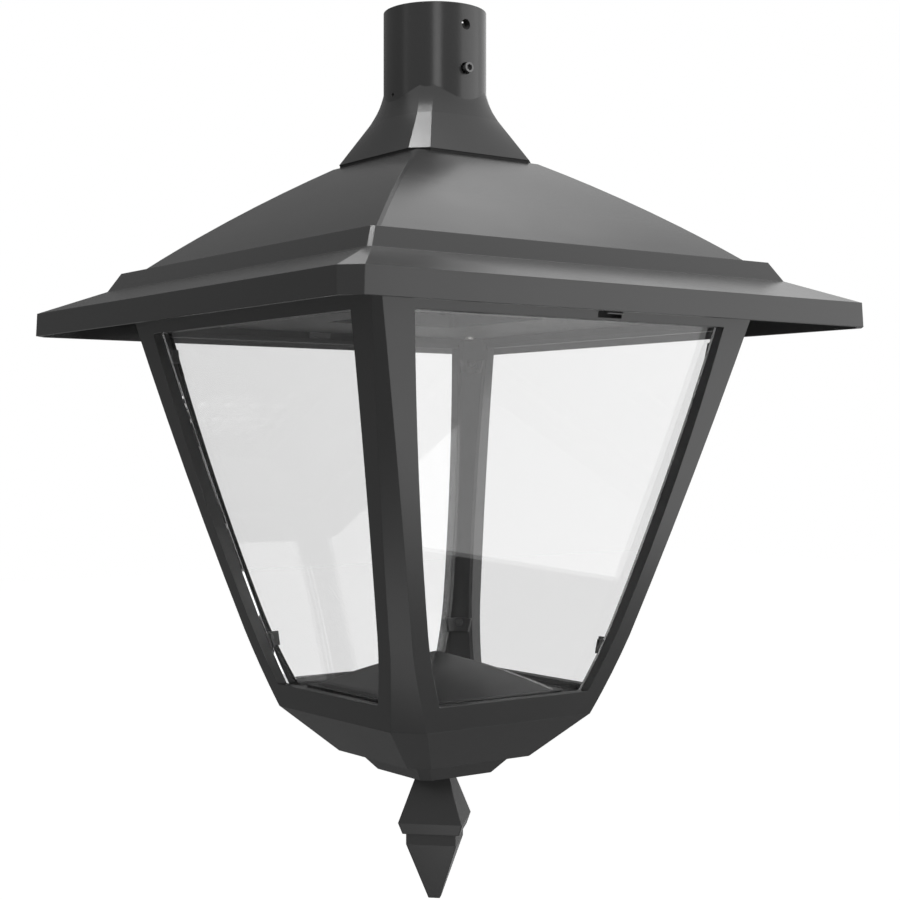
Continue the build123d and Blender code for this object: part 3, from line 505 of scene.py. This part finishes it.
for side, turn in (("front", 0), ("right", 90), ("back", 180), ("left", 270)):
    copy = sheet.copy()
    copy.data = sheet.data.copy()
    bpy.context.collection.objects.link(copy)
    copy.rotation_euler.z = math.radians(turn)
    bpy.ops.object.select_all(action="DESELECT")
    copy.select_set(True)
    bpy.context.view_layer.objects.active = copy
    bpy.ops.object.transform_apply(location=True, rotation=True, scale=True)
    dress(copy, "clear_" + side + "_pane", pane_clear, "glazed_body", "clear_glass", "pane_" + side)
    if side in bedded_edges:
        copy.data.materials.append(sealant)
        for face in copy.data.polygons:
            if face.normal.dot(bedded_edges[side]) > 0.6:
                face.material_index = 1
bpy.data.objects.remove(sheet)

# Eight bent stainless strips hold the panes' corners. They are coated as the frame, so they hardly
# show against the posts, and each has one blackened pan-head screw into a boss of the post.

finish(sheet_coat, "pane_clips")
post_corner = 0.012
clip_leg = 0.0065
clip_sheet = 0.0015
clip_levels = (eaves - 0.031, eaves - 0.237)
clip_boss = (clip_leg + 2 * glass * lean - post_corner) / math.sqrt(2 + 4 * slope ** 2)
clip_places = []
for level in clip_levels:
    across = plane_at(level) - post_corner / 2
    for x, y in ((across, across), (-across, across), (-across, -across), (across, -across)):
        outwards = Vector((x, y, 0)).normalized()
        outwards.z = -slope * math.sqrt(2)
        outwards.normalize()
        seat = Vector((x, y, level)) - outwards * (clip_boss + clip_sheet)
        clip_places.append((seat, outwards))
clip_screw = pan_head_screw(head_r=0.0028, head=0.0018, shank_r=0.0014, length=0.0088)
clip_screws = set_in(clip_screw, clip_places)
dress(clip_screws, "cross_recess_clip_screws", black_steel, "glazed_body", "stainless_steel",
      "pane_clip_screws")

# Under the body sits the base, a stepped inverted pyramid cast in aluminium, and inside it a pressed
# plate shaped as a low pyramid. The square finial hangs on a stud with a nut inside the base.

finish(casting_coat, "floor_plate", "base_tray", "finial")
finish(stainless, "base_tray_screws", "finial_stud", "finial_nut")

# The room: a pale floor well below the lantern and an even white surround. The surround is white
# where it is seen, mirrored or seen through glass, and gives a dimmer light of its own.


def seen_straight(tree):
    """1 for rays that show the surround: from the camera, off a mirror or through glass."""
    path = part(tree, "ShaderNodeLightPath")
    both = part(tree, "ShaderNodeMath", {"operation": "MAXIMUM"}, {
        0: path.outputs["Is Camera Ray"], 1: path.outputs["Is Glossy Ray"]})
    return part(tree, "ShaderNodeMath", {"operation": "MAXIMUM"}, {
        0: both.outputs[0], 1: path.outputs["Is Transmission Ray"]}).outputs[0]


surround_light = 0.27
world = bpy.data.worlds.new("white_surround")
bpy.context.scene.world = world
world.use_nodes = True
tree = world.node_tree
tree.nodes.clear()
strength = part(tree, "ShaderNodeMapRange", {}, {
    "Value": seen_straight(tree), "To Min": surround_light, "To Max": 1.0})
white = part(tree, "ShaderNodeBackground", {}, {"Color": (1, 1, 1, 1), "Strength": strength.outputs[0]})
part(tree, "ShaderNodeOutputWorld", {}, {"Surface": white.outputs[0]})

floor_level = -1.4
floor = start(bpy.ops.mesh.primitive_plane_add, size=24, location=(0, 0, floor_level))
floor.name = "floor"
pale, tree = new_material("pale_painted_floor")
lit = part(tree, "ShaderNodeBsdfDiffuse", {}, {"Color": linear("#E6E6E6")})
lift = part(tree, "ShaderNodeMapRange", {}, {"Value": seen_straight(tree), "To Min": 0.08, "To Max": 0.79})
glow = part(tree, "ShaderNodeEmission", {}, {"Color": (1, 1, 1, 1), "Strength": lift.outputs[0]})
both = part(tree, "ShaderNodeAddShader", {}, {0: lit.outputs[0], 1: glow.outputs[0]})
part(tree, "ShaderNodeOutputMaterial", {}, {"Surface": both.outputs[0]})
floor.data.materials.append(pale)

# Soft studio lamps: a small one nearly straight above, which the corner facets mirror, two behind
# at the right, and a large soft box at the front right for the right-hand faces.


def soft_lamp(name, place, facing, width, height, brightness):
    """A rectangular lamp of an even brightness, upright edges up, that shines along facing."""
    data = bpy.data.lights.new(name, "AREA")
    data.shape = "RECTANGLE"
    data.size = width
    data.size_y = height
    data.energy = brightness * math.pi * width * height
    lamp = bpy.data.objects.new(name, data)
    lamp.location = place
    lamp.rotation_euler = Vector(facing).to_track_quat("-Z", "Y").to_euler()
    lamp.visible_camera = False
    bpy.context.collection.objects.link(lamp)


soft_lamp("overhead_lamp", (-0.42, 0.07, 1.75), (0.2, -0.04, -0.98), 0.34, 0.34, 15)
soft_lamp("high_back_lamp", (0.88, 0.5, 1.4), (-0.5, -0.3, -0.8), 0.8, 0.8, 0.8)
soft_lamp("back_lamp", (0.8, 1.25, 0.95), (-0.5, -0.7, -0.5), 0.5, 0.5, 1.0)
soft_lamp("right_soft_box", (1.932, -1.212, -0.15), (-0.34, 0.94, 0), 2.7, 2.3, 0.78)

# Screens stand round the lantern and lie low under it, as a studio has them, so that paint and
# panes mirror them there. Rays that haven't been mirrored pass through them.


def screen(name, colour, points, strength=1.0):
    """A flat screen through its corner points, met by mirrored rays alone."""
    mesh = bpy.data.meshes.new(name)
    mesh.from_pydata(points, [], [list(range(len(points)))])
    sheet = bpy.data.objects.new(name, mesh)
    bpy.context.collection.objects.link(sheet)
    for way in ("camera", "diffuse", "volume_scatter", "shadow"):
        setattr(sheet, f"visible_{way}", False)
    cloth, tree = new_material(name)
    path = part(tree, "ShaderNodeLightPath")
    mirrored = part(tree, "ShaderNodeMath", {"operation": "GREATER_THAN"}, {
        0: path.outputs["Glossy Depth"], 1: 0.5})
    dim = part(tree, "ShaderNodeEmission", {}, {"Color": linear(colour), "Strength": strength})
    away = part(tree, "ShaderNodeBsdfTransparent")
    met = part(tree, "ShaderNodeMixShader", {}, {
        0: mirrored.outputs[0], 1: away.outputs[0], 2: dim.outputs[0]})
    part(tree, "ShaderNodeOutputMaterial", {}, {"Surface": met.outputs[0]})
    mesh.materials.append(cloth)


def upright(name, colour, start_at, end_at, foot, top, strength=1.0):
    """A screen that stands between two points of the floor plan."""
    points = [(*start_at, foot), (*end_at, foot), (*end_at, top), (*start_at, top)]
    screen(name, colour, points, strength)


screen_foot = -1.3
card_level = -1.29
front_top = 1.0
back_seam = 0.3
strip_left = (-1.226, -1.518)
strip_right = (-0.772, -1.79)
upright("back_screen", "#6E6E6E", (-4.5, 1.5), (1.5, 1.5), screen_foot, back_seam)
upright("back_screen_top", "#828282", (-4.5, 1.5), (1.5, 1.5), back_seam, 1.8)
upright("back_right_screen", "#808080", (1.5, 1.5), (2.8, 1.0), screen_foot, -0.2)
upright("front_left_screen", "#B4B4B4", (-2.6, 0.6), strip_left, screen_foot, front_top)
upright("front_strip", "#FFFFFF", strip_left, strip_right, screen_foot, front_top, 3.0)
upright("front_right_screen", "#C0C0C0", strip_right, (0.75, -1.90), screen_foot, front_top)
low_corners = [(-2.4, -2.80), (3.2, -0.77), (1.4, 1.5), (-4.4, 1.5)]
screen("low_screen", "#686868", [(*corner, screen_foot) for corner in low_corners])
card_corners = [(-0.9, -1.0), (-0.1, -1.0), (-0.1, -0.3), (-0.9, -0.3)]
screen("low_card", "#F0F0F0", [(*corner, card_level) for corner in card_corners], 1.5)

# The camera stands in front of the lantern's nearest corner, a little below the eaves, and looks
# level, so the left face is seen more steeply than the right one.

camera_data = bpy.data.cameras.new("camera")
camera_data.lens = 66.296
camera_data.sensor_width = 36
camera_data.shift_x = 0.0263
camera_data.shift_y = 0.0003
camera = bpy.data.objects.new("camera", camera_data)
camera.location = (-0.7006, -0.9567, -0.3100)
camera.rotation_euler = (math.radians(89.93), 0, math.radians(-35.92))
bpy.context.collection.objects.link(camera)
bpy.context.scene.camera = camera

view = bpy.context.scene.view_settings
view.view_transform = "Standard"
